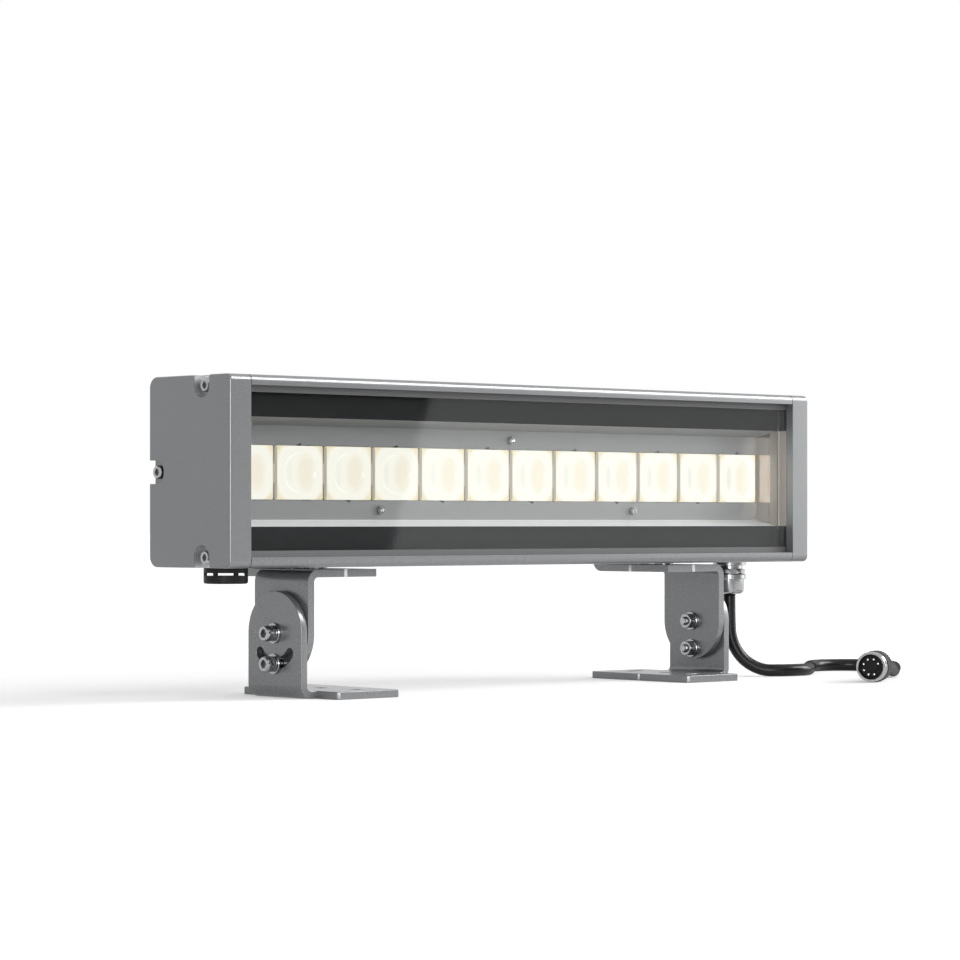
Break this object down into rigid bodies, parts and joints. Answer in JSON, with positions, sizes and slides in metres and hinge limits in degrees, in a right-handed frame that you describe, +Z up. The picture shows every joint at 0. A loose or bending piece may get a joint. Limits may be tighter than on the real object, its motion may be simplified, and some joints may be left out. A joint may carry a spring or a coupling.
{
  "type": "outdoor wall washer light",
  "caption": "Linear outdoor wall washer: grey extruded housing with a row of square optics behind recessed glass, on tilting floor brackets, with a short cable and pin connector.",
  "frame": {"origin": "on the floor under the middle of the lamp", "axes": "+X along the lamp, light leaves towards -Y, +Z up"},
  "size_m": [0.6345, 0.1899, 0.2033],
  "materials": {
    "lamp_paint": "fine grey powder coat",
    "steel": "stainless steel",
    "nickel": "nickel plated",
    "pin_metal": "plated contacts",
    "glass": "clear toughened",
    "seal": "matt",
    "mask": "black print",
    "optic": "clear moulded, lit",
    "board": "white solder mask",
    "chip": "phosphor",
    "driver_case": "potted case",
    "black_plastic": "moulded black",
    "cable_jacket": "smooth, slightly glossy",
    "core": "insulated cores"
  },
  "bodies": {
    "base": {"foot_bracket_left": "lamp_paint", "foot_bracket_right": "lamp_paint", "cable": "cable_jacket", "connector_ring": "nickel", "connector_body": "black_plastic", "connector_boot": "black_plastic", "connector_insert": "black_plastic", "connector_pins": "pin_metal"},
    "head": {"housing_profile": "lamp_paint", "end_cap_left": "lamp_paint", "end_cap_right": "lamp_paint", "upper_bracket_left": "lamp_paint", "upper_bracket_right": "lamp_paint", "optic_tray": "lamp_paint", "end_cap_screws_left": "steel", "end_cap_screws_right": "steel", "tray_screws": "steel", "board_screws": "steel", "driver_screws": "steel", "bracket_screws": "steel", "back_screws": "steel", "hinge_bolts": "steel", "hinge_washers": "steel", "spring_washers": "steel", "hinge_nuts": "steel", "bracket_spacers": "steel", "tray_standoffs": "steel", "gland_body": "nickel", "gland_nut": "nickel", "gland_locknut": "nickel", "front_glass": "glass", "end_seal_left": "seal", "end_seal_right": "seal", "glazing_seal_top": "seal", "glazing_seal_bottom": "seal", "friction_washers": "seal", "mask_top": "mask", "mask_bottom": "mask", "lens_01": "optic", "lens_02": "optic", "lens_03": "optic", "lens_04": "optic", "lens_05": "optic", "lens_06": "optic", "lens_07": "optic", "lens_08": "optic", "lens_09": "optic", "lens_10": "optic", "lens_11": "optic", "lens_12": "optic", "led_board": "board", "led_chips": "chip", "driver": "driver_case", "vent_plug": "black_plastic", "vent_locknut": "black_plastic", "terminal_block": "black_plastic", "cable_tail": "cable_jacket", "supply_cores": "core", "led_cores": "core"}
  },
  "joints": [
    {"name": "tilt", "type": "hinge", "parent": "base", "child": "head", "pos_m": [0, 0, 0.0411], "axis": [1, 0, 0], "range_deg": [-50, 50], "deforming": ["cable"]}
  ]
}
